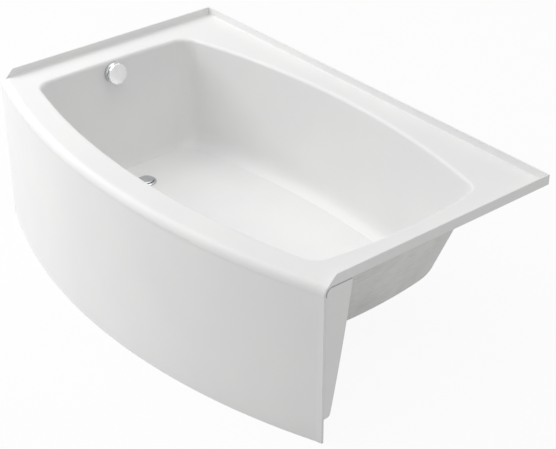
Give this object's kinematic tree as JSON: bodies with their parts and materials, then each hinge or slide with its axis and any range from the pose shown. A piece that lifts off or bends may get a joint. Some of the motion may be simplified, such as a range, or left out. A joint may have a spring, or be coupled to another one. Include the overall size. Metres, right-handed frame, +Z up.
{
  "type": "alcove bathtub",
  "caption": "White alcove bathtub with a bowed front apron, tile flange on the closed sides, and a dial on the overflow that lifts the drain stopper.",
  "frame": {"origin": "centre of the bath's footprint, on the floor it stands on", "axes": "+X along the bath from the drain end to the backrest end, +Y to the back wall, +Z up"},
  "size_m": [1.524, 0.9648, 0.508],
  "materials": {
    "white_acrylic": "high gloss",
    "glass_fibre": "rough sprayed laminate",
    "plywood": "raw",
    "timber": "sawn softwood",
    "black_rubber": "moulded",
    "grey_rubber": "moulded",
    "polished_chrome": "polished",
    "stainless_steel": "turned",
    "cast_brass": "as cast",
    "drawn_brass": "drawn"
  },
  "bodies": {
    "tub": {"bath_shell": "white_acrylic", "basin_backing": "glass_fibre", "apron_panel": "white_acrylic", "apron_end_return_left": "white_acrylic", "apron_end_return_right": "white_acrylic", "apron_ribs": "timber", "apron_floor_sill": "timber", "deck_batten_front": "plywood", "deck_batten_back": "plywood", "deck_batten_drain_end": "plywood", "deck_batten_foot_end": "plywood", "base_board": "plywood", "base_bearer_front": "timber", "base_bearer_rear": "timber", "bearer_pads": "black_rubber", "drain_flange": "polished_chrome", "drain_flange_seal": "grey_rubber", "drain_gasket": "black_rubber", "drain_shoe": "cast_brass", "waste_tee": "cast_brass", "overflow_pipe": "drawn_brass", "slip_nuts": "cast_brass", "slip_washers": "black_rubber", "overflow_elbow": "cast_brass", "overflow_gasket": "black_rubber", "overflow_face_plate": "polished_chrome", "overflow_plate_screws": "polished_chrome", "rocker_pivot_pin": "drawn_brass"},
    "dial": {"overflow_dial": "polished_chrome", "dial_set_screw": "stainless_steel", "overflow_spindle": "drawn_brass", "spindle_clip": "stainless_steel"},
    "lift_rod": {"lift_rod": "drawn_brass", "lift_plunger": "cast_brass", "rod_lock_nut": "drawn_brass"},
    "rocker": {"rocker_arm": "cast_brass"},
    "stopper": {"drain_stopper": "polished_chrome", "stopper_seal": "black_rubber"}
  },
  "joints": [
    {"name": "dial_turn", "type": "hinge", "parent": "tub", "child": "dial", "pos_m": [-0.65569, 0.0145, 0.442], "axis": [-0.9945, 0, -0.1045], "range_deg": [0, 90]},
    {"name": "rod_slide", "type": "slide", "parent": "tub", "child": "lift_rod", "axis": [0, 0, -1], "range_m": [0, 0.01314]},
    {"name": "rocker_tilt", "type": "hinge", "parent": "tub", "child": "rocker", "pos_m": [-0.57, 0.0145, 0.062], "axis": [0, -1, 0], "range_deg": [0, 6.01]},
    {"name": "stopper_lift", "type": "slide", "parent": "tub", "child": "stopper", "axis": [0, 0, 1], "range_m": [0, 0.00742]}
  ],
  "couplings": [
    {"joint": "rod_slide", "follows": "dial_turn", "m_per_rad": 0.0082375},
    {"joint": "rocker_tilt", "follows": "dial_turn", "ratio": 0.065653},
    {"joint": "stopper_lift", "follows": "dial_turn", "m_per_rad": 0.0045957}
  ]
}
